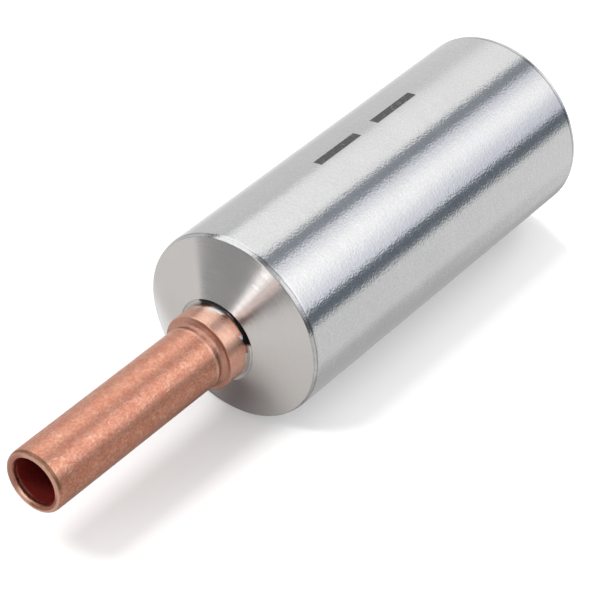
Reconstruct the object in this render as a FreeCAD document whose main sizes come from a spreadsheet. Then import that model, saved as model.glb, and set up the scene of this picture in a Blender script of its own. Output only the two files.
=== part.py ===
import FreeCAD, Part
import os
import Sketcher

# Bimetallic compression link, millimetres, standing on the barrel's open end.
# The origin is the centre of that end face and +Z runs up the axis to the copper tip.
# Two turned pieces meet face to face at a friction weld: an aluminium barrel with a
# large blind bore, and a copper tube with a small blind bore and a solid collar.

# Driving dimensions
# Every other size in the part is worked out from these.
DRIVING_SIZES = (
    ("barrel_bore", 21.0),
    ("barrel_wall", 5.5),
    ("barrel_length", 72.0),
    ("barrel_web", 10.0),
    ("barrel_lead_in", 0.8),
    ("rim_break_length", 0.4),
    ("rim_break_drop", 0.3),
    ("shoulder_break_length", 0.9),
    ("shoulder_break_drop", 0.25),
    ("cone_height", 3.9),
    ("neck_length", 0.9),
    ("relief_width", 0.6),
    ("relief_overcut", 0.05),
    ("tube_bore", 8.0),
    ("tube_wall", 1.25),
    ("tube_reach", 37.5),
    ("tube_web", 3.2),
    ("tube_lead_in_step", 0.2),
    ("tube_lead_in_depth", 0.4),
    ("tip_break_length", 0.6),
    ("tip_break_drop", 0.2),
    ("collar_step", 1.15),
    ("collar_length", 3.4),
    ("collar_break", 0.25),
    ("undercut_length", 1.4),
    ("undercut_depth", 0.25),
    ("root_radius", 1.1),
    ("drill_point_angle", 118.0),
    ("countersink_angle", 90.0),
)

# Sizes that follow from the driving ones, as formulas on the sheet's aliases
BARREL_RADIUS = "dims.barrel_bore / 2 + dims.barrel_wall"
TUBE_RADIUS = "dims.tube_bore / 2 + dims.tube_wall"
COLLAR_RADIUS = TUBE_RADIUS + " + dims.collar_step"
UNDERCUT_RADIUS = TUBE_RADIUS + " - dims.undercut_depth"
CONE_ROOT_RADIUS = COLLAR_RADIUS + " + dims.relief_width"
CONE_TOP = "dims.barrel_length + dims.cone_height"
WELD_HEIGHT = CONE_TOP + " + dims.neck_length"
TUBE_TOP = "dims.collar_length + dims.tube_reach"

# A fillet takes at most this share of the face that it runs into
FILLET_SHARE = 0.98

# How closely an edge has to match the radius and height it is looked for at
EDGE_TOLERANCE = 0.0001

doc = FreeCAD.newDocument("bimetallic_link")


def make_sheet(sizes):
    """One row for each driving size: its name, and its value under that alias."""
    sheet = doc.addObject("Spreadsheet::Sheet", "dims")
    for row, (alias, value) in enumerate(sizes, start=1):
        sheet.set("A%d" % row, alias)
        sheet.set("B%d" % row, str(value))
        sheet.setAlias("B%d" % row, alias)
    doc.recompute()
    return sheet


def make_body(label):
    body = doc.addObject("PartDesign::Body", label)
    body.Label = label
    return body


def make_sketch(body, name, plane_role):
    """An empty sketch on one of the body's own origin planes."""
    sketch = body.newObject("Sketcher::SketchObject", name)
    planes = [item for item in body.Origin.OriginFeatures if item.Role == plane_role]
    sketch.AttachmentSupport = [(planes[0], "")]
    sketch.MapMode = "FlatFace"
    return sketch


def bind_constraint(sketch, constraint, name, formula):
    index = sketch.addConstraint(constraint)
    sketch.renameConstraint(index, name)
    sketch.setExpression("Constraints." + name, formula)


def draw_section(sketch, corners):
    """A closed half section. Each corner is (name, radius formula, height formula);
    an empty formula puts it on the axis or on the base line."""
    places = []
    for name, radius, height in corners:
        x = float(sheet.evalExpression(radius)) if radius else 0.0
        y = float(sheet.evalExpression(height)) if height else 0.0
        places.append(FreeCAD.Vector(x, y, 0))
    count = len(corners)
    for index in range(count):
        line = Part.LineSegment(places[index], places[(index + 1) % count])
        sketch.addGeometry(line, False)
    for index in range(count):
        following = (index + 1) % count
        sketch.addConstraint(Sketcher.Constraint("Coincident", index, 2, following, 1))
    for index, (name, radius, height) in enumerate(corners):
        before = corners[index - 1]
        if not radius and not height:
            sketch.addConstraint(Sketcher.Constraint("Coincident", index, 1, -1, 1))
            continue
        if not radius:
            sketch.addConstraint(Sketcher.Constraint("PointOnObject", index, 1, -2))
        elif index > 0 and radius == before[1]:
            sketch.addConstraint(Sketcher.Constraint("Vertical", index - 1))
        else:
            across = Sketcher.Constraint("DistanceX", -1, 1, index, 1, places[index].x)
            bind_constraint(sketch, across, name + "_radius", radius)
        if not height:
            sketch.addConstraint(Sketcher.Constraint("PointOnObject", index, 1, -1))
        elif index > 0 and height == before[2]:
            sketch.addConstraint(Sketcher.Constraint("Horizontal", index - 1))
        else:
            up = Sketcher.Constraint("DistanceY", -1, 1, index, 1, places[index].y)
            bind_constraint(sketch, up, name + "_height", height)


def turn_section(body, name, corners):
    """The section drawn on the XZ plane and revolved a full turn about the axis."""
    sketch = make_sketch(body, name + "_section", "XZ_Plane")
    draw_section(sketch, corners)
    turned = body.newObject("PartDesign::Revolution", name)
    turned.Profile = sketch
    turned.ReferenceAxis = (sketch, ["V_Axis"])
    turned.Angle = 360.0
    doc.recompute()
    return turned


def drill_bore(body, name, bore, depth, start_height, upwards):
    """A blind round hole on the axis with a drill point at its bottom."""
    sketch = make_sketch(body, name + "_centre", "XY_Plane")
    radius = float(sheet.evalExpression(bore)) / 2
    sketch.addGeometry(Part.Circle(FreeCAD.Vector(0, 0, 0), FreeCAD.Vector(0, 0, 1), radius), False)
    sketch.addConstraint(Sketcher.Constraint("Coincident", 0, 3, -1, 1))
    bind_constraint(sketch, Sketcher.Constraint("Radius", 0, radius), "bore_radius", bore + " / 2")
    if start_height:
        sketch.setExpression("AttachmentOffset.Base.z", start_height)
    doc.recompute()
    volume_before = body.Shape.Volume
    hole = body.newObject("PartDesign::Hole", name)
    hole.Profile = sketch
    doc.recompute()
    hole.ThreadType = "None"
    hole.DepthType = "Dimension"
    hole.DrillPoint = "Angled"
    hole.Reversed = upwards
    hole.setExpression("Diameter", bore)
    hole.setExpression("Depth", depth)
    hole.setExpression("DrillPointAngle", "dims.drill_point_angle")
    doc.recompute()
    if body.Shape.Volume >= volume_before:
        raise RuntimeError(name + " cuts nothing")
    return hole


def ring_edges(feature, radius, height):
    """Names of the full-circle edges of this radius at this height above the body's base."""
    found = []
    for number, edge in enumerate(feature.Shape.Edges, start=1):
        curve = edge.Curve
        if not isinstance(curve, Part.Circle):
            continue
        misfit = max(abs(curve.Radius - radius), abs(curve.Center.z - height))
        if misfit < EDGE_TOLERANCE:
            found.append("Edge%d" % number)
    if not found:
        raise RuntimeError("no ring edge of radius %.3f at height %.3f" % (radius, height))
    return found


def make_barrel():
    """Aluminium barrel: parallel body, shallow cone, weld neck with its relief, blind bore."""
    body = make_body("aluminium_barrel")
    rim_radius = BARREL_RADIUS + " - dims.rim_break_drop"
    shoulder_radius = BARREL_RADIUS + " - dims.shoulder_break_drop"
    turn_section(body, "barrel_turning", (
        ("base_centre", "", ""),
        ("rim_inner", rim_radius, ""),
        ("rim_outer", BARREL_RADIUS, "dims.rim_break_length"),
        ("shoulder_outer", BARREL_RADIUS, "dims.barrel_length - dims.shoulder_break_length"),
        ("shoulder_inner", shoulder_radius, "dims.barrel_length"),
        ("cone_root", CONE_ROOT_RADIUS, CONE_TOP),
        ("neck_root", COLLAR_RADIUS, CONE_TOP),
        ("neck_top", COLLAR_RADIUS, WELD_HEIGHT),
        ("weld_centre", "", WELD_HEIGHT),
    ))
    cut_relief(body)
    mouth = drill_bore(body, "barrel_bore", "dims.barrel_bore",
                       "dims.barrel_length - dims.barrel_web", "", True)
    mouth.HoleCutType = "Countersink"
    mouth.setExpression("HoleCutDiameter", "dims.barrel_bore + 2 * dims.barrel_lead_in")
    mouth.setExpression("HoleCutCountersinkAngle", "dims.countersink_angle")
    doc.recompute()
    return body


def cut_relief(body):
    """Half-round relief turned into the cone where it meets the weld neck."""
    sketch = make_sketch(body, "weld_relief_section", "XZ_Plane")
    centre_radius = COLLAR_RADIUS + " + dims.relief_width / 2"
    relief_radius = "dims.relief_width / 2 + dims.relief_overcut"
    centre = FreeCAD.Vector(float(sheet.evalExpression(centre_radius)),
                            float(sheet.evalExpression(CONE_TOP)), 0)
    radius = float(sheet.evalExpression(relief_radius))
    sketch.addGeometry(Part.Circle(centre, FreeCAD.Vector(0, 0, 1), radius), False)
    across = Sketcher.Constraint("DistanceX", -1, 1, 0, 3, centre.x)
    bind_constraint(sketch, across, "relief_centre_radius", centre_radius)
    up = Sketcher.Constraint("DistanceY", -1, 1, 0, 3, centre.y)
    bind_constraint(sketch, up, "relief_centre_height", CONE_TOP)
    size = Sketcher.Constraint("Radius", 0, radius)
    bind_constraint(sketch, size, "relief_radius", relief_radius)
    doc.recompute()
    volume_before = body.Shape.Volume
    groove = body.newObject("PartDesign::Groove", "weld_relief")
    groove.Profile = sketch
    groove.ReferenceAxis = (sketch, ["V_Axis"])
    groove.Angle = 360.0
    doc.recompute()
    if body.Shape.Volume >= volume_before:
        raise RuntimeError("the weld relief cuts nothing")


def make_tube():
    """Copper tube on its solid collar, built up from the weld face and set on the neck."""
    body = make_body("copper_tube")
    collar_front_radius = COLLAR_RADIUS + " - dims.collar_break"
    undercut_top = "dims.collar_length + dims.undercut_length"
    tip_radius = TUBE_RADIUS + " - dims.tip_break_drop"
    turned = turn_section(body, "tube_turning", (
        ("weld_centre", "", ""),
        ("collar_back", COLLAR_RADIUS, ""),
        ("collar_edge", COLLAR_RADIUS, "dims.collar_length - dims.collar_break"),
        ("collar_front", collar_front_radius, "dims.collar_length"),
        ("collar_root", UNDERCUT_RADIUS, "dims.collar_length"),
        ("undercut_end", UNDERCUT_RADIUS, undercut_top),
        ("tube_start", TUBE_RADIUS, undercut_top),
        ("tip_outer", TUBE_RADIUS, TUBE_TOP + " - dims.tip_break_length"),
        ("tip_inner", tip_radius, TUBE_TOP),
        ("tip_centre", "", TUBE_TOP),
    ))
    root = body.newObject("PartDesign::Fillet", "collar_root_fillet")
    root_ring = ring_edges(turned, float(sheet.evalExpression(UNDERCUT_RADIUS)),
                           float(sheet.evalExpression("dims.collar_length")))
    root.Base = (turned, root_ring)
    collar_face = "dims.collar_step + dims.undercut_depth - dims.collar_break"
    root.setExpression("Radius", "min(dims.root_radius; %g * (%s))" % (FILLET_SHARE, collar_face))
    doc.recompute()
    mouth = drill_bore(body, "tube_bore", "dims.tube_bore",
                       "dims.tube_reach - dims.tube_web", TUBE_TOP, False)
    mouth.HoleCutType = "Countersink"
    mouth.setExpression("HoleCutDiameter", "dims.tube_bore + 2 * dims.tube_lead_in_step")
    mouth.setExpression("HoleCutCountersinkAngle",
                        "2 * atan(dims.tube_lead_in_step / dims.tube_lead_in_depth)")
    body.setExpression("Placement.Base.z", WELD_HEIGHT)
    doc.recompute()
    return body


def check_document(bodies):
    for item in doc.Objects:
        if "Invalid" in item.State or "Error" in item.State:
            raise RuntimeError(item.Label + " failed to build")
    for body in bodies:
        shape = body.Shape
        if shape.isNull() or not shape.isValid() or len(shape.Solids) != 1:
            raise RuntimeError(body.Label + " is not one valid solid")


def write_steps(bodies):
    os.makedirs("parts", exist_ok=True)
    for body in bodies:
        box = body.Shape.BoundBox
        print("%s: volume %.1f mm3, z %.2f to %.2f mm"
              % (body.Label, body.Shape.Volume, box.ZMin, box.ZMax))
        body.Shape.exportStep(os.path.join("parts", body.Label + ".step"))


sheet = make_sheet(DRIVING_SIZES)
pieces = [make_barrel(), make_tube()]
check_document(pieces)
write_steps(pieces)
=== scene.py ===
import math

import bpy
from mathutils import Matrix, Vector


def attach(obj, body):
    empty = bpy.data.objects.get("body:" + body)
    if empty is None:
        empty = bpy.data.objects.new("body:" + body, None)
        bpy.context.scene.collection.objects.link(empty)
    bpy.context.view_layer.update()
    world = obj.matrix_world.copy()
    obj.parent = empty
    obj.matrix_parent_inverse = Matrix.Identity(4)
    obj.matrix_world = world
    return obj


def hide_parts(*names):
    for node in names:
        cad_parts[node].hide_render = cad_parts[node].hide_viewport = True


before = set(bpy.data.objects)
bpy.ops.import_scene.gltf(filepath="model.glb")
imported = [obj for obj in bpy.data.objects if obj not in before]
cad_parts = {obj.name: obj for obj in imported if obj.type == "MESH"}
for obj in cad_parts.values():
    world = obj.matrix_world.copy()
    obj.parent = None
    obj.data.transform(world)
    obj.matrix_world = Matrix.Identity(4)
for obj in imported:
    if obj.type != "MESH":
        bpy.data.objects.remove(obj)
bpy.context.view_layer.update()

MM = 0.001

# The camera looks down past the copper end, as if the link lay on its side.
CAMERA_PLACE = (-0.208446, -0.254669, 0.328083)
CAMERA_RIGHT = (-0.79507, 0.0, -0.60653)
CAMERA_UP = (0.36568, -0.79781, -0.47935)
CAMERA_BACK = (-0.48390, -0.60291, 0.63431)
CAMERA_LENS = 163.24
CAMERA_SENSOR = 36.0
CAMERA_CLIP = (0.01, 20.0)

# Radii and heights along the link, in millimetres.
BARREL_RADIUS = 16.0
SHOULDER_HEIGHT = 72.0
CONE_TOP = 75.88
NECK_RADIUS = 6.4
WELD_HEIGHT = 76.8
COLLAR_TOP = 80.2
TUBE_RADIUS = 5.25
TUBE_BORE_RADIUS = 4.0
TUBE_START = 81.6
TIP_HEIGHT = 117.7

# The sections that are spun round the axis, from the axis out and back to the axis: each
# corner's radius, its height, and how far the corner is rounded off along both of its sides.
BARREL_SECTION = (
    (0.0, 68.31, 0.0),
    (10.5, 62.0, 0.4),
    (10.5, 0.8, 0.1),
    (11.3, 0.0, 0.12),
    (15.7, 0.0, 0.12),
    (BARREL_RADIUS, 0.4, 0.12),
    (BARREL_RADIUS, 71.1, 0.2),
    (15.75, SHOULDER_HEIGHT, 0.1),
    (7.05, CONE_TOP, 0.06),
    (7.05, 75.55, 0.32),
    (NECK_RADIUS, 75.55, 0.32),
    (NECK_RADIUS, WELD_HEIGHT, 0.0),
    (0.0, WELD_HEIGHT, 0.0),
)
TUBE_SECTION = (
    (0.0, WELD_HEIGHT, 0.0),
    (NECK_RADIUS, WELD_HEIGHT, 0.0),
    (NECK_RADIUS, COLLAR_TOP, 0.26),
    (4.95, COLLAR_TOP, 1.12),
    (4.95, TUBE_START, 0.04),
    (TUBE_RADIUS, TUBE_START, 0.12),
    (TUBE_RADIUS, 117.05, 0.34),
    (5.05, TIP_HEIGHT, 0.3),
    (4.2, TIP_HEIGHT, 0.14),
    (TUBE_BORE_RADIUS, 117.3, 0.1),
    (TUBE_BORE_RADIUS, 83.4, 0.3),
    (0.0, 81.0, 0.0),
)
SPIN_STEPS = 256
ROUND_STEPS = 5
MERGE_DISTANCE = 0.001
SMOOTH_ANGLE = 30.0

# The stage: a floor under the standing link, and a pale sheet along its side that takes the
# shadow it would have lying down. Shiny metal sees both darker than the camera does.
STAGE_SIZE = 4.0
STAGE_COLOUR = 0.8
STAGE_REFLECTED = (0.36, 0.35, 0.34)
REFLECTED_GLOW = (0.115, 0.11, 0.105)
FLOOR_GLOW = 0.55
SHEET_GLOW = 0.15
SHEET_REACH = 0.32
# A painted shadow on the sheet by the foot of the cone, which only shiny metal sees: the place,
# the distances in metres where it starts and is full, its share and its colour.
FOOT_PLACE = (0.0015, 0.016, 0.0765)
FOOT_REACH = (0.0105, 0.002)
FOOT_SHARE = 0.74
FOOT_SHADE = (0.06, 0.045, 0.045)
# Painted white light fades the barrel's shadow out at the sheet's foot: the share of painted light
# added, the heights in metres where it is full and where it starts, how these lean across the
# sheet, and the height over which it grows from nothing.
SHADOW_FADE = 0.5
SHADOW_END = (-0.0072, -0.0030, 0.45)
SHADOW_FADE_TOP = 0.02

# Two square lamps: name, direction from the link, distance, size, power. They point at this
# height on the axis.
LIT_HEIGHT = 0.06
LAMPS = (
    ("overhead_lamp", (0.185, -0.846, 0.50), 0.8, 0.19, 2.6),
    ("rear_lamp", (-0.25, -0.45, -0.86), 0.8, 0.4, 2.6),
)

# Light panels of the studio: name, colour, and the ranges of its directions, each as a measure,
# its low and high ends, and the blur at the ends. "angle" runs round the link's axis in degrees,
# and "side", "up" and "along" are the parts of the direction to the camera's right, away from
# the side sheet, and towards the copper end. Later panels cover earlier ones.
ROOM_COLOUR = (0.14, 0.14, 0.14)
DOME_LEVEL = 0.95
PANELS = (
    ("far_room", (0.125, 0.150, 0.178), (
        ("along", -2.0, -0.3, 0.3),)),
    ("front_wall", (0.28, 0.28, 0.28), (
        ("side", -2.0, -0.1, 0.1), ("along", 0.55, 2.0, 0.15))),
    ("between", (0.27, 0.295, 0.33), (
        ("angle", 60.0, 112.0, 14.0), ("along", -2.0, -0.2, 0.2))),
    ("floor", (0.69, 0.69, 0.69), (
        ("up", -2.0, -0.08, 0.02),)),
    ("floor_left", (0.92, 0.92, 0.92), (
        ("angle", -156.0, -124.0, 14.0), ("along", -2.0, 0.2, 0.2))),
    ("floor_shade", (0.48, 0.48, 0.48), (
        ("angle", -124.0, -58.0, 12.0), ("along", -2.0, 0.9, 0.1))),
    ("under_shade", (0.05, 0.05, 0.05), (
        ("angle", -128.0, -86.0, 12.0), ("along", -0.45, 0.14, 0.1))),
    ("key_edge", (0.93, 0.955, 1.01), (
        ("angle", 13.2, 50.0, 3.0), ("along", -2.0, -0.1, 0.2))),
    ("key_side", (0.815, 0.835, 0.88), (
        ("angle", 30.0, 74.5, 9.0), ("along", -2.0, -0.1, 0.2))),
    ("key", (1.25, 1.25, 1.25), (
        ("angle", 33.0, 65.0, 26.0), ("along", -2.0, -0.1, 0.2))),
    ("fill", (0.98, 0.98, 0.98), (
        ("angle", 90.5, 142.0, 8.0), ("along", -2.0, 0.5, 0.1))),
    ("fill_tip", (1.22, 1.22, 1.22), (
        ("angle", 96.0, 140.0, 8.0), ("along", -0.60, 0.5, 0.05))),
    ("key_tip", (1.4, 1.4, 1.4), (
        ("angle", 27.0, 56.0, 14.0), ("along", -0.60, 0.0, 0.05))),
    ("between_far", (0.27, 0.295, 0.33), (
        ("angle", 79.0, 93.0, 5.0), ("along", -2.0, -0.668, 0.05))),
    ("floor_far", (0.85, 0.85, 0.85), (
        ("angle", -95.0, -10.0, 14.0), ("along", -2.0, -0.70, 0.03))),
    ("key_far_side", (0.61, 0.635, 0.73), (
        ("angle", 13.2, 120.0, 3.0), ("angle", -60.0, 74.5, 9.0), ("along", -2.0, -0.69, 0.05))),
    ("key_far", (1.09, 1.09, 1.11), (
        ("angle", 33.0, 65.0, 26.0), ("along", -2.0, -0.69, 0.05))),
    ("front_fill", (1.1, 1.1, 1.1), (
        ("angle", 18.0, 98.0, 20.0), ("along", 0.05, 0.8, 0.2), ("up", 0.2, 2.0, 0.1))),
    ("left_wall", (0.69, 0.69, 0.69), (
        ("side", -2.0, -0.42, 0.1), ("up", -0.1, 0.47, 0.1), ("along", -2.0, 0.62, 0.15))),
    ("left_far", (0.79, 0.79, 0.79), (
        ("side", -2.0, -0.42, 0.1), ("up", -0.3, 0.47, 0.1), ("along", -2.0, -0.695, 0.03))),
    ("front_strip", (1.82, 1.76, 1.73), (
        ("side", -0.190, -0.118, 0.024), ("up", -0.03, 0.5, 0.04), ("along", 0.7, 2.0, 0.1))),
    ("front_glint", (1.9, 1.5, 1.36), (
        ("side", -0.080, -0.044, 0.016), ("up", -0.06, 0.5, 0.03), ("along", 0.7, 2.0, 0.1))),
)

# Spots on the two metals: name, size in millimetres, softness and detail; and how far apart
# the tool marks are, in millimetres, and how fast they change round the piece.
ALUMINIUM_PATTERNS = (
    ("grit", 0.34, 0.2, 1.0),
    ("grain", 0.5, 0.2, 3.0),
    ("dents", 0.9, 0.2, 0.5),
    ("waves", 1.8, 0.2, 3.0),
    ("clouds", 7.0, 0.2, 3.0),
)
COPPER_PATTERNS = (
    ("grain", 0.36, 0.16, 3.0),
    ("spots", 1.5, 0.18, 3.0),
    ("clouds", 7.0, 0.2, 3.0),
)
ALUMINIUM_MARK_SPACING = 0.35
COPPER_MARK_SPACING = 0.5
MARK_WANDER = 3.0
MARK_DETAIL = 3.0
MARK_CONTRAST = (0.3, 0.7)
NOISE_ROUGHNESS = 0.6

# Where the marks on each metal lie: name, and ranges as above, with None for an open end.
# Radii and heights are in millimetres. "angle" runs from -180 to 180 degrees round the axis and
# "back_angle" from 0 to 360, both from the side at the camera's right up over the top.
ALUMINIUM_PLACES = (
    ("faced", (("height", SHOULDER_HEIGHT + 0.01, None, 0.06),)),
    ("groove", (("radius", 6.5, 7.08, 0.06), ("height", 75.25, None, 0.1))),
    # The painted shade round the shoulder is weaker on its top.
    ("shoulder_lit_top", (("angle", 76.0, 102.0, 16.0),)),
    # A dark line of painted shade by the barrel's open end, strongest on one side.
    ("rim_shade", (("wavy_height", 0.80, 1.06, 0.14), ("radius", 15.5, None, 0.2))),
    ("rim_shade_side", (("angle", 5.0, 105.0, 30.0),)),
    ("bar_line", (("angle", 96.0, 102.2, 0.5), ("radius", BARREL_RADIUS - 0.25, None, 0.1))),
    ("neck", (("height", 76.0, None, 0.1), ("radius", None, 6.65, 0.1))),
    # Painted shade in the neck's groove, on one side of the link, lighter where it is thin.
    ("groove_shade", (("radius", None, 7.01, 0.22), ("over_groove_shade", None, 0.0, 0.1),
              ("height", 75.25, None, 0.1), ("wavy_angle", 21.0, 124.0, 7.0))),
    ("thin_groove_shade", (("angle", 70.0, None, 16.0),)),
)
COPPER_PLACES = (
    # Painted shade on the tube's underside.
    ("underside_shade", (("angle", -75.0, 26.0, 22.0), ("height", 81.0, None, 2.0))),
    ("collar", (("height", WELD_HEIGHT - 0.1, COLLAR_TOP + 0.1, 0.4),)),
    # The collar's side where it is paler still, as a painted highlight.
    ("collar_lit_side", (("angle", 26.0, 102.0, 20.0),)),
    # Painted shade on the copper next to the weld, on one side.
    ("weld_shade", (("height", None, WELD_HEIGHT + 0.65, 1.3), ("angle", 12.0, 80.0, 24.0))),
    # A painted highlight on the copper next to the weld, on one side.
    ("pale", (("height", None, WELD_HEIGHT + 0.55, 0.9), ("angle", 82.0, 124.0, 16.0))),
    ("hollow", (("height", 79.98, TUBE_START + 0.02, 0.1), ("radius", None, 6.345, 0.09))),
    # A painted shadow in the notch behind the tube's end edge, weaker on one side.
    ("notch_shadow", (("height", 80.85, TUBE_START, 0.3), ("radius", 4.6, 5.16, 0.1))),
    ("notch_lit_side", (("angle", 46.0, 82.0, 26.0),)),
    # The tube's edge where it starts: lighter as wear, and as a painted highlight.
    ("worn", (("height", TUBE_START - 0.02, TUBE_START + 0.6, 0.3), ("radius", 5.15, None, 0.1))),
    ("cut", (("height", TIP_HEIGHT - 0.12, None, 0.1),)),
    # Painted shade on the tip's outer chamfer, on one side.
    ("chamfer_shade", (("height", TIP_HEIGHT - 0.62, TIP_HEIGHT - 0.14, 0.16),
              ("radius", 4.85, None, 0.1), ("angle", 10.0, 138.0, 30.0))),
    ("mouth", (("height", TIP_HEIGHT - 0.725, None, 0.25), ("radius", None, 4.25, 0.1))),
    ("face", (("height", TIP_HEIGHT - 0.375, None, 0.15), ("radius", None, 5.15, 0.1))),
    # Painted shade on the tip's face by the bore, on one side.
    ("inner", (("radius", None, 4.6, 0.16), ("angle", -104.0, -4.0, 22.0))),
    # Painted shade on the tip's face, on another side.
    ("outer", (("back_angle", 112.0, 222.0, 24.0),)),
    ("bore", (("radius", None, TUBE_BORE_RADIUS + 0.08, 0.08),
              ("height", None, TIP_HEIGHT - 0.9, 0.4))),
    # A painted reflection, lighter, at the bore's lip on one side.
    ("bore_lip_reflection", (("height", TIP_HEIGHT - 1.2, TIP_HEIGHT - 0.8, 0.2),
                  ("back_angle", 170.0, 250.0, 20.0))),
)

# Measures that a pattern makes uneven: name, measure, pattern, how far it shifts the measure.
ALUMINIUM_SHIFTS = (
    ("wavy_height", "height", "waves", 0.1),
    ("wavy_angle", "angle", "waves", 8.0),
    ("grainy_angle", "angle", "grain", 9.0),
)

# Painted shade in lines round the shoulder: low and high ends from its height, blur, strength.
SHOULDER_SHADE_LINES = (
    (-0.70, -0.46, 0.14, 1.0),
    (-0.10, 0.08, 0.10, 0.5),
    (-0.78, 0.08, 0.14, 0.35),
)

# The two printed bars: their heights, their blur, and how the grain wears them.
BAR_HEIGHTS = ((36.6, 47.1), (21.7, 32.2))
BAR_BLUR = 0.12
BAR_WEAR = (0.4, 0.86)

# Top of the painted shade in the neck's groove: its height, how it changes between two angles,
# and the reach of its waves.
GROOVE_SHADE_TOP = 76.05
GROOVE_SHADE_TOP_CHANGES = ((52.0, 62.0, -0.39), (33.0, 26.0, 0.38), (68.0, 80.0, 0.12))
GROOVE_SHADE_TOP_WAVES = 0.16

# Patches of copper smeared on the neck: their angles and blur.
SMEAR_ANGLES = ((12.0, 31.0), (39.0, 77.0), (101.0, 130.0))
SMEAR_BLUR = 5.0

# What one mask leaves of another: the weakened mask, the other, and the share that is left
# where the other is 0 and where it is 1. The painted shade on the tube's underside also follows
# the grain, up to full cover.
ALUMINIUM_FADES = (
    ("shoulder", "shoulder_lit_top", 1.0, 0.25),
    ("shoulder", "grain", 0.65, 1.0),
    ("rim_shade", "rim_shade_side", 0.2, 0.65),
)
COPPER_FADES = (
    ("underside_shade", "clouds", 0.65, 0.35),
    ("fresh_collar_and_highlight", "collar_lit_side", 0.3, 0.6),
    ("weld_shade", "grain", 0.7, 1.0),
    ("notch_shadow", "notch_lit_side", 0.8, 0.1),
)
UNDERSIDE_SHADE_GRAIN = (0.55, 1.4)

# Painted shade on the tip's face: the share of the inner and of the outer patch, and the radii
# over which the outer one weakens, with what is left of it.
INNER_FACE_SHADE = 0.85
OUTER_FACE_SHADE = 0.65
OUTER_FACE_SHADE_FADE = (4.4, 5.1, 1.0, 0.45)

# Colours: two that a pattern mixes, then layers from the first to the last, each with its mask,
# its share and its colour. On top come the painted shade in the neck's groove and the bars, and on
# copper the dark bore, which looks less metallic, with a painted reflection at its lip.
ALUMINIUM_COLOURS = ((0.785, 0.785, 0.79), (0.83, 0.83, 0.83))
ALUMINIUM_LAYERS = (
    ("marks", 0.25, (0.65, 0.65, 0.66)),
    ("grit", 0.5, (0.63, 0.63, 0.635)),
    ("grain", 0.25, (0.64, 0.64, 0.645)),
    ("waves", 0.25, (0.66, 0.66, 0.66)),
    ("faced", 0.6, (0.91, 0.89, 0.88)),
    # Painted shade in dark lines round the shoulder.
    ("shoulder", 0.9, (0.30, 0.30, 0.305)),
    # Painted shade by the barrel's open end.
    ("rim_shade", 1.0, (0.20, 0.19, 0.18)),
    ("smear", 1.0, (0.62, 0.31, 0.22)),
)
GROOVE_SHADE_COLOURS = ((0.03, 0.03, 0.032), (0.085, 0.09, 0.088))
BAR_COLOUR = (0.045, 0.045, 0.046)
COPPER_COLOURS = ((0.82, 0.35, 0.235), (1.0, 0.58, 0.41))
COPPER_LAYERS = (
    ("clouds", 0.35, (0.82, 0.38, 0.29)),
    ("grain", 0.66, (0.59, 0.21, 0.13)),
    ("marks", 0.15, (0.52, 0.20, 0.13)),
    # Painted shade on the tube's underside.
    ("underside_shade", 1.0, (0.44, 0.185, 0.12)),
    # The collar's paler, fresher copper, with a painted highlight on one side.
    ("fresh_collar_and_highlight", 1.0, (1.0, 0.70, 0.57)),
    ("collar_marks", 0.4, (0.66, 0.33, 0.23)),
    # Painted shade next to the weld.
    ("weld_shade", 0.7, (0.56, 0.29, 0.22)),
    # A painted highlight next to the weld.
    ("pale", 0.75, (0.92, 0.84, 0.79)),
    ("hollow", 0.5, (0.60, 0.34, 0.265)),
    # Painted shadow in the notch.
    ("notch_shadow", 1.0, (0.24, 0.12, 0.09)),
    # Wear and a painted highlight on the tube's edge.
    ("worn", 0.4, (1.0, 0.70, 0.55)),
    ("cut", 0.6, (1.0, 0.62, 0.49)),
    # Painted shade on the tip's outer chamfer.
    ("chamfer_shade", 0.8, (0.20, 0.12, 0.08)),
    ("mouth", 0.6, (1.0, 0.72, 0.58)),
    # Painted shade on the tip's face.
    ("face_shade", 1.0, (0.36, 0.13, 0.09)),
)
BORE_COLOURS = ((0.42, 0.05, 0.04), (0.80, 0.24, 0.18))
BORE_METAL = 0.75

# Roughness: over the clouds or spots from 0 to 1, in the neck's groove, on the painted shade there
# and on the bars, and what the fine patterns add to it.
ALUMINIUM_ROUGHNESS = (0.12, 0.16)
GROOVE_ROUGHNESS = 0.4
GROOVE_SHADE_ROUGHNESS = 0.6
BAR_ROUGHNESS = 0.42
ALUMINIUM_ADDED_ROUGHNESS = (("marks", 0.05),)
COPPER_ROUGHNESS = (0.32, 0.25)
COPPER_ADDED_ROUGHNESS = (("grain", 0.06), ("collar", -0.01))
ALUMINIUM_ANISOTROPY = 0.8
QUARTER_TURN = 0.25

# Relief: the patterns' weights, what is left of it on the cone and on the collar, and its depth
# in millimetres.
ALUMINIUM_RELIEF = (("grit", 0.7), ("grain", 0.25), ("dents", 0.15), ("waves", 0.2))
FACED_RELIEF = 0.12
MARK_RELIEF = 0.4
ALUMINIUM_DEPTH = 0.012
COPPER_RELIEF = (("grain", 0.5), ("marks", 0.2), ("spots", 0.75))
COLLAR_RELIEF = 0.18
COPPER_DEPTH = 0.045


def add_camera():
    data = bpy.data.cameras.new("camera")
    data.lens = CAMERA_LENS
    data.sensor_width = CAMERA_SENSOR
    data.clip_start, data.clip_end = CAMERA_CLIP
    camera = bpy.data.objects.new("camera", data)
    bpy.context.scene.collection.objects.link(camera)
    turn = Matrix((CAMERA_RIGHT, CAMERA_UP, CAMERA_BACK)).transposed()
    camera.matrix_world = Matrix.Translation(CAMERA_PLACE) @ turn.to_4x4()
    bpy.context.scene.camera = camera


def solid(colour):
    return (colour[0], colour[1], colour[2], 1.0)


def grey(level):
    return (level, level, level, 1.0)


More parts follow.
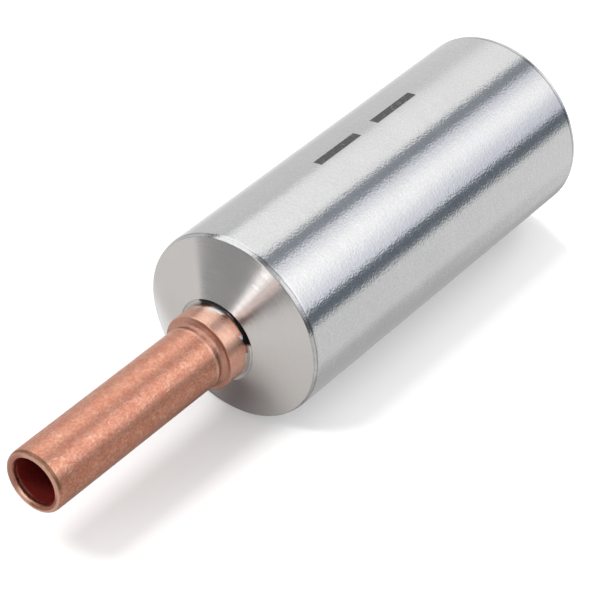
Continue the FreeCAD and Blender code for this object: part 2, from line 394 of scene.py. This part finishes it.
class Nodes:
    """Adds nodes to one tree and links what is given to their sockets."""

    def __init__(self, tree):
        self.tree = tree

    def add(self, kind, inputs=None, **settings):
        node = self.tree.nodes.new(kind)
        for name, value in settings.items():
            setattr(node, name, value)
        for name, value in (inputs or {}).items():
            self.feed(node.inputs[name], value)
        return node

    def feed(self, socket, value):
        if isinstance(value, bpy.types.NodeSocket):
            self.tree.links.new(value, socket)
        else:
            socket.default_value = value

    def math(self, operation, first, second=0.0, third=0.0, clamp=False):
        node = self.add("ShaderNodeMath", operation=operation, use_clamp=clamp)
        for socket, value in zip(node.inputs, (first, second, third)):
            self.feed(socket, value)
        return node.outputs[0]

    def ramp(self, value, low, high, to_low=0.0, to_high=1.0, smooth=True):
        kind = "SMOOTHSTEP" if smooth else "LINEAR"
        node = self.add("ShaderNodeMapRange", {
            "Value": value, "From Min": low, "From Max": high,
            "To Min": to_low, "To Max": to_high}, interpolation_type=kind)
        return node.outputs["Result"]

    def spread(self, mask, low, high, smooth=True):
        """Turns a mask's 0 to 1 into low to high."""
        return self.ramp(mask, 0.0, 1.0, low, high, smooth)

    def band(self, value, low, high, blur):
        """1 from low to high, where None is an open end, with ends that blur over a width."""
        rise = fall = 1.0
        if low is not None:
            rise = self.ramp(value, low - blur / 2, low + blur / 2)
        if high is not None:
            fall = self.ramp(value, high - blur / 2, high + blur / 2, 1.0, 0.0)
        return self.math("MULTIPLY", rise, fall)

    def any_band(self, value, ends, blur):
        """1 in any of several bands, which don't overlap."""
        total = 0.0
        for low, high in ends:
            total = self.math("ADD", total, self.band(value, low, high, blur))
        return total

    def cover(self, measures, ranges):
        """1 where every measure is in its range."""
        mask = 1.0
        for measure, low, high, blur in ranges:
            mask = self.math("MULTIPLY", mask, self.band(measures[measure], low, high, blur))
        return mask

    def weigh(self, masks, weights):
        """The sum of masks, each times its weight."""
        total = 0.0
        for name, weight in weights:
            total = self.math("ADD", total, self.math("MULTIPLY", masks[name], weight))
        return total

    def fade(self, masks, fades):
        """Weakens some of the masks by others."""
        for name, other, low, high in fades:
            masks[name] = self.math("MULTIPLY", masks[name], self.spread(masks[other], low, high))

    def mix(self, share, first, second, kind="RGBA"):
        node = self.add("ShaderNodeMix", data_type=kind)
        sockets = [s for s in node.inputs if s.enabled]
        for socket, value in zip(sockets, (share, first, second)):
            self.feed(socket, value)
        return [s for s in node.outputs if s.enabled][0]

    def mix_pair(self, share, colours):
        return self.mix(share, solid(colours[0]), solid(colours[1]))

    def lay_on(self, colour, masks, layers):
        """Lays colours over a first one, each where its mask says."""
        for name, share, layer_colour in layers:
            cover = self.math("MULTIPLY", masks[name], share)
            colour = self.mix(cover, colour, solid(layer_colour))
        return colour

    def fill_group(self, tree, inputs):
        return self.add("ShaderNodeGroup", inputs, node_tree=tree).outputs


def set_world():
    world = bpy.data.worlds.new("studio")
    bpy.context.scene.world = world
    world.use_nodes = True
    world.node_tree.nodes.clear()
    n = Nodes(world.node_tree)
    direction = n.add("ShaderNodeTexCoord").outputs["Generated"]
    parts = n.add("ShaderNodeSeparateXYZ", {"Vector": direction})
    measures = {"side": n.math("MULTIPLY", parts.outputs["X"], -1.0),
                "up": n.math("MULTIPLY", parts.outputs["Y"], -1.0),
                "along": parts.outputs["Z"]}
    measures["angle"] = n.math("DEGREES", n.math("ARCTAN2", measures["up"], measures["side"]))
    colour = solid(ROOM_COLOUR)
    for name, panel_colour, ranges in PANELS:
        colour = n.mix(n.cover(measures, ranges), colour, solid(panel_colour))
    path = n.add("ShaderNodeLightPath")
    colour = n.mix(path.outputs["Is Diffuse Ray"], colour, grey(DOME_LEVEL))
    colour = n.mix(path.outputs["Is Camera Ray"], colour, grey(1.0))
    background = n.add("ShaderNodeBackground", {"Color": colour, "Strength": 1.0})
    n.add("ShaderNodeOutputWorld", {"Surface": background.outputs[0]})


def painted_shadow_by_cone(n, point):
    """How much painted shadow shiny metal sees on the stage at a point."""
    away = n.add("ShaderNodeVectorMath", {0: point, 1: FOOT_PLACE}, operation="DISTANCE")
    return n.ramp(away.outputs["Value"], FOOT_REACH[0], FOOT_REACH[1], 0.0, FOOT_SHARE)


def painted_light_at_foot(n, point):
    """How much painted white light hides the barrel's shadow at a point by the foot of the sheet.
    """
    place = n.add("ShaderNodeSeparateXYZ", {"Vector": point}).outputs
    full, start, lean = SHADOW_END
    leaning = n.math("ADD", place["Z"], n.math("MULTIPLY", place["X"], lean))
    fade = n.ramp(leaning, start, full, 0.0, SHADOW_FADE)
    return n.math("MULTIPLY", fade, n.ramp(place["Z"], SHADOW_FADE_TOP, 0.0, 0.0, 1.0))


def paint_pale(name, glow):
    """A plain pale finish for the stage, see-through from behind. The camera sees its colour and
    glow, and shiny metal sees darker ones, with a painted shadow by the foot of the cone. Painted
    white light fades the barrel's shadow out at the sheet's foot."""
    material = bpy.data.materials.new(name)
    material.use_nodes = True
    material.node_tree.nodes.clear()
    n = Nodes(material.node_tree)
    path = n.add("ShaderNodeLightPath").outputs
    geometry = n.add("ShaderNodeNewGeometry").outputs
    # Shiny metal sees a painted shadow on the sheet by the foot of the cone.
    shade = painted_shadow_by_cone(n, geometry["Position"])
    reflected = n.mix(shade, solid(STAGE_REFLECTED), solid(FOOT_SHADE))
    reflected_glow = n.mix(shade, solid(REFLECTED_GLOW), solid(FOOT_SHADE))
    # Painted white light fades the barrel's shadow out at the sheet's foot.
    seen_glow = n.mix(painted_light_at_foot(n, geometry["Position"]), grey(glow), grey(1.0))
    matt = n.add("ShaderNodeBsdfDiffuse", {
        "Color": n.mix(path["Is Glossy Ray"], grey(STAGE_COLOUR), reflected)})
    light = n.add("ShaderNodeEmission", {
        "Color": n.mix(path["Is Glossy Ray"], seen_glow, reflected_glow),
        "Strength": n.math("MAXIMUM", path["Is Camera Ray"], path["Is Glossy Ray"])})
    front = n.add("ShaderNodeAddShader", {0: matt.outputs[0], 1: light.outputs[0]})
    behind = n.add("ShaderNodeBsdfTransparent")
    shader = n.add("ShaderNodeMixShader", {
        0: geometry["Backfacing"], 1: front.outputs[0], 2: behind.outputs[0]})
    n.add("ShaderNodeOutputMaterial", {"Surface": shader.outputs[0]})
    return material


def add_plane(name, place, turn, size, finish, reflected=False):
    bpy.ops.object.select_all(action="DESELECT")
    bpy.ops.mesh.primitive_plane_add(size=1.0, location=place, rotation=turn)
    plane = bpy.context.object
    plane.name = name
    plane.scale = (size[0], size[1], 1.0)
    plane.data.materials.append(finish)
    plane.visible_glossy = reflected
    plane.visible_diffuse = False
    plane.visible_shadow = False
    plane.visible_transmission = False


def add_stage():
    """The floor, and the sheet along the barrel's side. The sheet's strip beside the barrel
    isn't reflected, so that the barrel's back doesn't mirror its own shadow there."""
    finish = paint_pale("floor_finish", FLOOR_GLOW)
    add_plane("floor", (0.0, 0.0, 0.0), (0.0, 0.0, 0.0), (STAGE_SIZE, STAGE_SIZE), finish)
    finish = paint_pale("side_sheet_finish", SHEET_GLOW)
    turn = (math.radians(90.0), 0.0, 0.0)
    shoulder = SHOULDER_HEIGHT * MM
    for name, low, high, reflected in (("side_sheet_front", shoulder, SHEET_REACH, True),
                                       ("side_sheet_back", 0.0, shoulder, False)):
        place = (0.0, BARREL_RADIUS * MM, (low + high) / 2)
        add_plane(name, place, turn, (STAGE_SIZE, high - low), finish, reflected)


def add_lamp(name, direction, distance, size, power):
    data = bpy.data.lights.new(name, "AREA")
    data.shape = "SQUARE"
    data.size = size
    data.energy = power
    lamp = bpy.data.objects.new(name, data)
    bpy.context.scene.collection.objects.link(lamp)
    towards = Vector(direction).normalized()
    lamp.location = Vector((0.0, 0.0, LIT_HEIGHT)) + towards * distance
    lamp.visible_glossy = False
    lamp.rotation_mode = "QUATERNION"
    lamp.rotation_quaternion = towards.to_track_quat("Z", "Y")


def draw_section(name, corners):
    """Draws a section corner by corner, by extruding one vertex."""
    bpy.ops.object.select_all(action="DESELECT")
    bpy.ops.mesh.primitive_plane_add(size=MM)
    piece = bpy.context.object
    piece.name = name
    piece.data.name = name
    bpy.ops.object.mode_set(mode="EDIT")
    bpy.ops.mesh.select_all(action="SELECT")
    bpy.ops.mesh.merge(type="CENTER")
    radius, height = corners[0][:2]
    bpy.ops.transform.translate(value=(radius * MM, 0.0, height * MM))
    for next_radius, next_height, _ in corners[1:]:
        step = ((next_radius - radius) * MM, 0.0, (next_height - height) * MM)
        bpy.ops.mesh.extrude_vertices_move(TRANSFORM_OT_translate={"value": step})
        radius, height = next_radius, next_height
    bpy.ops.object.mode_set(mode="OBJECT")
    return piece


def round_corner(piece, radius, height, rounding):
    """Rounds the section's corner at this radius and height."""
    corner = Vector((radius * MM, 0.0, height * MM))
    bpy.ops.object.mode_set(mode="EDIT")
    bpy.ops.mesh.select_all(action="DESELECT")
    bpy.ops.object.mode_set(mode="OBJECT")
    nearest = min(piece.data.vertices, key=lambda vertex: (vertex.co - corner).length)
    nearest.select = True
    bpy.ops.object.mode_set(mode="EDIT")
    bpy.ops.mesh.bevel(offset=rounding * MM, offset_type="OFFSET", segments=ROUND_STEPS,
                       affect="VERTICES")
    bpy.ops.object.mode_set(mode="OBJECT")


def spin_section(piece):
    """Spins a piece's section once round the axis and closes it."""
    bpy.ops.object.mode_set(mode="EDIT")
    bpy.ops.mesh.select_all(action="SELECT")
    bpy.ops.mesh.spin(steps=SPIN_STEPS, angle=2 * math.pi, center=(0.0, 0.0, 0.0),
                      axis=(0.0, 0.0, 1.0))
    bpy.ops.mesh.select_all(action="SELECT")
    bpy.ops.mesh.remove_doubles(threshold=MERGE_DISTANCE * MM)
    bpy.ops.mesh.normals_make_consistent(inside=False)
    bpy.ops.object.mode_set(mode="OBJECT")
    bpy.ops.object.shade_smooth_by_angle(angle=math.radians(SMOOTH_ANGLE))
    even = piece.modifiers.new("even_normals", "WEIGHTED_NORMAL")
    even.keep_sharp = True
    bpy.ops.object.modifier_apply(modifier=even.name)


def make_turned(name, corners, node, finish):
    """A turned piece: its section is drawn, its corners are rounded, and it is spun."""
    piece = draw_section(name, corners)
    for radius, height, rounding in corners:
        if rounding:
            round_corner(piece, radius, height, rounding)
    spin_section(piece)
    piece.data.materials.clear()
    piece.data.materials.append(finish)
    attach(piece, "root")
    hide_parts(node)


def make_group(name, inputs, outputs):
    """A new node group with named sockets; returns its tree and the sockets inside it."""
    tree = bpy.data.node_groups.new(name, "ShaderNodeTree")
    for label, kind in inputs:
        tree.interface.new_socket(name=label, in_out="INPUT", socket_type=kind)
    for label, kind in outputs:
        tree.interface.new_socket(name=label, in_out="OUTPUT", socket_type=kind)
    n = Nodes(tree)
    return tree, n, n.add("NodeGroupInput").outputs, n.add("NodeGroupOutput").inputs


def group_round_axis():
    """Where a point of a turned piece lies: its angle, its radius and its height."""
    tree, n, given, out = make_group(
        "round_axis", (("Vector", "NodeSocketVector"),),
        (("Angle", "NodeSocketFloat"), ("Radius", "NodeSocketFloat"),
         ("Height", "NodeSocketFloat")))
    parts = n.add("ShaderNodeSeparateXYZ", {"Vector": given["Vector"]}).outputs
    side = n.math("MULTIPLY", parts["X"], -1.0)
    up = n.math("MULTIPLY", parts["Y"], -1.0)
    squares = n.math("ADD", n.math("MULTIPLY", side, side), n.math("MULTIPLY", up, up))
    n.feed(out["Angle"], n.math("DEGREES", n.math("ARCTAN2", up, side)))
    n.feed(out["Radius"], n.math("SQRT", squares))
    n.feed(out["Height"], parts["Z"])
    return tree


def group_turned_marks(round_axis):
    """Fine tool marks that run round a turned piece, unbroken across its seam, and fade in
    and out on the way."""
    tree, n, given, out = make_group(
        "turned_marks", (("Vector", "NodeSocketVector"), ("Spacing", "NodeSocketFloat"),
                         ("Wander", "NodeSocketFloat")), (("Mask", "NodeSocketFloat"),))
    place = n.fill_group(round_axis, {"Vector": given["Vector"]})
    turn = n.math("RADIANS", place["Angle"])
    across = n.math("DIVIDE", place["Height"], given["Spacing"])
    outwards = n.math("DIVIDE", place["Radius"], given["Spacing"])
    point = n.add("ShaderNodeCombineXYZ", {
        "X": across,
        "Y": n.math("MULTIPLY", n.math("COSINE", turn), given["Wander"]),
        "Z": n.math("MULTIPLY", n.math("SINE", turn), given["Wander"])}).outputs[0]
    noise = n.add("ShaderNodeTexNoise", {
        "Vector": point, "W": outwards, "Scale": 1.0, "Detail": MARK_DETAIL,
        "Roughness": NOISE_ROUGHNESS}, noise_dimensions="4D").outputs[0]
    n.feed(out["Mask"], n.ramp(noise, MARK_CONTRAST[0], MARK_CONTRAST[1], smooth=False))
    return tree


def group_mottle():
    """Soft irregular spots of a given size."""
    tree, n, given, out = make_group(
        "mottle", (("Vector", "NodeSocketVector"), ("Size", "NodeSocketFloat"),
                   ("Softness", "NodeSocketFloat"), ("Detail", "NodeSocketFloat")),
        (("Mask", "NodeSocketFloat"),))
    noise = n.add("ShaderNodeTexNoise", {
        "Vector": given["Vector"], "Scale": n.math("DIVIDE", 1.0, given["Size"]),
        "Detail": given["Detail"], "Roughness": NOISE_ROUGHNESS}).outputs[0]
    low = n.math("SUBTRACT", 0.5, given["Softness"])
    high = n.math("ADD", 0.5, given["Softness"])
    n.feed(out["Mask"], n.ramp(noise, low, high, smooth=False))
    return tree


def start_material(name, groups, spacing, patterns):
    """A new material of a turned piece, with its measures and its patterns' masks by name."""
    material = bpy.data.materials.new(name)
    material.use_nodes = True
    material.node_tree.nodes.clear()
    n = Nodes(material.node_tree)
    metres = n.add("ShaderNodeTexCoord").outputs["Object"]
    point = n.add("ShaderNodeVectorMath", {0: metres, "Scale": 1.0 / MM},
                  operation="SCALE").outputs[0]
    place = n.fill_group(groups["round_axis"], {"Vector": point})
    measures = {"angle": place["Angle"], "radius": place["Radius"], "height": place["Height"]}
    masks = {"marks": n.fill_group(groups["turned_marks"], {
        "Vector": point, "Spacing": spacing, "Wander": MARK_WANDER})["Mask"]}
    for pattern, size, softness, detail in patterns:
        masks[pattern] = n.fill_group(groups["mottle"], {
            "Vector": point, "Size": size, "Softness": softness, "Detail": detail})["Mask"]
    return material, n, measures, masks


def finish_material(n, relief, depth, inputs):
    """Adds the relief, the shader and the output."""
    bump = n.add("ShaderNodeBump", {"Strength": 1.0, "Distance": depth * MM, "Height": relief})
    shader = n.add("ShaderNodeBsdfPrincipled", {"Normal": bump.outputs[0], **inputs})
    n.add("ShaderNodeOutputMaterial", {"Surface": shader.outputs[0]})


def find_groove_shade_top(n, measures, masks):
    """The ragged height up to which painted shade covers the neck."""
    top = n.math("ADD", GROOVE_SHADE_TOP, n.math("MULTIPLY", masks["waves"], GROOVE_SHADE_TOP_WAVES))
    for start, end, change in GROOVE_SHADE_TOP_CHANGES:
        top = n.math("ADD", top, n.ramp(measures["angle"], start, end, 0.0, change))
    return top


def mask_shoulder_shade(n, measures):
    """The lines of painted shade round the shoulder."""
    edge = 0.0
    for low, high, blur, strength in SHOULDER_SHADE_LINES:
        line = n.band(measures["wavy_height"], SHOULDER_HEIGHT + low, SHOULDER_HEIGHT + high, blur)
        edge = n.math("MAXIMUM", edge, n.math("MULTIPLY", line, strength))
    return edge


def mask_bars(n, measures, masks):
    """The printed bars that show where to crimp, a little worn by the grain."""
    bars = n.any_band(measures["height"], BAR_HEIGHTS, BAR_BLUR)
    bars = n.math("MULTIPLY", bars, masks["bar_line"])
    worn = n.ramp(masks["grain"], 0.0, BAR_WEAR[0], BAR_WEAR[1], 1.0)
    return n.math("MULTIPLY", bars, worn, clamp=True)


def mask_aluminium(n, measures, masks):
    """Adds the masks of the marks, the print, the smear and the painted shade on the bare
    aluminium.
    """
    for name, measure, pattern, reach in ALUMINIUM_SHIFTS:
        shift = n.math("MULTIPLY", masks[pattern], reach)
        measures[name] = n.math("ADD", measures[measure], shift)
    groove_shade_top = find_groove_shade_top(n, measures, masks)
    measures["over_groove_shade"] = n.math("SUBTRACT", measures["height"], groove_shade_top)
    for name, ranges in ALUMINIUM_PLACES:
        masks[name] = n.cover(measures, ranges)
    masks["shoulder"] = mask_shoulder_shade(n, measures)
    masks["bars"] = mask_bars(n, measures, masks)
    patches = n.any_band(measures["grainy_angle"], SMEAR_ANGLES, SMEAR_BLUR)
    masks["smear"] = n.math("MULTIPLY", patches, masks["neck"])
    n.fade(masks, ALUMINIUM_FADES)


def paint_aluminium(groups):
    """Bright turned aluminium: fine marks round the axis, a slight grain, two printed bars on
    the barrel, painted shade along its edges and in the neck's groove, and a smear of copper by
    the weld."""
    material, n, measures, masks = start_material(
        "turned_aluminium_finish", groups, ALUMINIUM_MARK_SPACING, ALUMINIUM_PATTERNS)
    mask_aluminium(n, measures, masks)
    colour = n.mix_pair(masks["clouds"], ALUMINIUM_COLOURS)
    colour = n.lay_on(colour, masks, ALUMINIUM_LAYERS)
    # Painted shade in the neck's groove.
    colour = n.mix(masks["groove_shade"], colour, n.mix_pair(masks["thin_groove_shade"], GROOVE_SHADE_COLOURS))
    colour = n.mix(masks["bars"], colour, solid(BAR_COLOUR))
    roughness = n.spread(masks["clouds"], *ALUMINIUM_ROUGHNESS, smooth=False)
    roughness = n.mix(masks["groove"], roughness, GROOVE_ROUGHNESS, "FLOAT")
    roughness = n.math("ADD", roughness, n.weigh(masks, ALUMINIUM_ADDED_ROUGHNESS))
    roughness = n.mix(masks["groove_shade"], roughness, GROOVE_SHADE_ROUGHNESS, "FLOAT")
    roughness = n.mix(masks["bars"], roughness, BAR_ROUGHNESS, "FLOAT")
    relief = n.math("MULTIPLY", n.weigh(masks, ALUMINIUM_RELIEF),
                    n.spread(masks["faced"], 1.0, FACED_RELIEF))
    relief = n.math("ADD", relief, n.math("MULTIPLY", masks["marks"], MARK_RELIEF))
    tangent = n.add("ShaderNodeTangent", direction_type="RADIAL", axis="Z")
    finish_material(n, relief, ALUMINIUM_DEPTH, {
        "Base Color": colour, "Roughness": roughness,
        "Metallic": n.math("SUBTRACT", 1.0, masks["bars"], clamp=True),
        "Anisotropic": ALUMINIUM_ANISOTROPY, "Anisotropic Rotation": QUARTER_TURN,
        "Tangent": tangent.outputs[0]})
    return material


def mask_copper(n, measures, masks):
    """Adds the masks of the marks, the painted shade and the painted highlights on the bare
    copper.
    """
    measures["back_angle"] = n.math("WRAP", measures["angle"], 360.0, 0.0)
    for name, ranges in COPPER_PLACES:
        masks[name] = n.cover(measures, ranges)
    # The collar is paler as fresher copper, and more so on one side as a painted highlight.
    masks["fresh_collar_and_highlight"] = masks["collar"]
    masks["collar_marks"] = n.math("MULTIPLY", masks["marks"], masks["collar"])
    n.fade(masks, COPPER_FADES)
    # The painted shade on the tube's underside follows the grain.
    masks["underside_shade"] = n.math("MULTIPLY", masks["underside_shade"], n.spread(
        masks["grain"], *UNDERSIDE_SHADE_GRAIN, smooth=False), clamp=True)
    # Painted shade on the tip's face, from two patches.
    inner = n.math("MULTIPLY", masks["inner"], INNER_FACE_SHADE)
    outer = n.math("MULTIPLY", masks["outer"], n.ramp(measures["radius"], *OUTER_FACE_SHADE_FADE))
    face_shade = n.math("MAXIMUM", inner, n.math("MULTIPLY", outer, OUTER_FACE_SHADE))
    masks["face_shade"] = n.math("MULTIPLY", masks["face"], face_shade)


def paint_copper(groups):
    """Annealed copper: mottled from heat and handling, browner in its hollows and brighter on its
    cut edges. Painted shade darkens the tube's underside, copper by the weld, the notch behind the
    tube's edge and the tip; painted highlights lighten the collar, copper by the weld, the tube's
    edge and the bore's lip."""
    material, n, measures, masks = start_material(
        "annealed_copper_finish", groups, COPPER_MARK_SPACING, COPPER_PATTERNS)
    mask_copper(n, measures, masks)
    colour = n.mix_pair(masks["spots"], COPPER_COLOURS)
    colour = n.lay_on(colour, masks, COPPER_LAYERS)
    # The bore's lip gets a painted reflection on one side.
    colour = n.mix(masks["bore"], colour, n.mix_pair(masks["bore_lip_reflection"], BORE_COLOURS))
    roughness = n.math("ADD", n.spread(masks["spots"], *COPPER_ROUGHNESS, smooth=False),
                       n.weigh(masks, COPPER_ADDED_ROUGHNESS))
    relief = n.math("MULTIPLY", n.weigh(masks, COPPER_RELIEF),
                    n.spread(masks["collar"], 1.0, COLLAR_RELIEF))
    finish_material(n, relief, COPPER_DEPTH, {
        "Base Color": colour, "Roughness": roughness,
        "Metallic": n.spread(masks["bore"], 1.0, BORE_METAL)})
    return material


bpy.context.scene.view_settings.view_transform = "Standard"
add_camera()
set_world()
add_stage()
for lamp in LAMPS:
    add_lamp(*lamp)
groups = {"round_axis": group_round_axis(), "mottle": group_mottle()}
groups["turned_marks"] = group_turned_marks(groups["round_axis"])
make_turned("turned_barrel", BARREL_SECTION, "aluminium_barrel",
            paint_aluminium(groups))
make_turned("turned_tube", TUBE_SECTION, "copper_tube",
            paint_copper(groups))
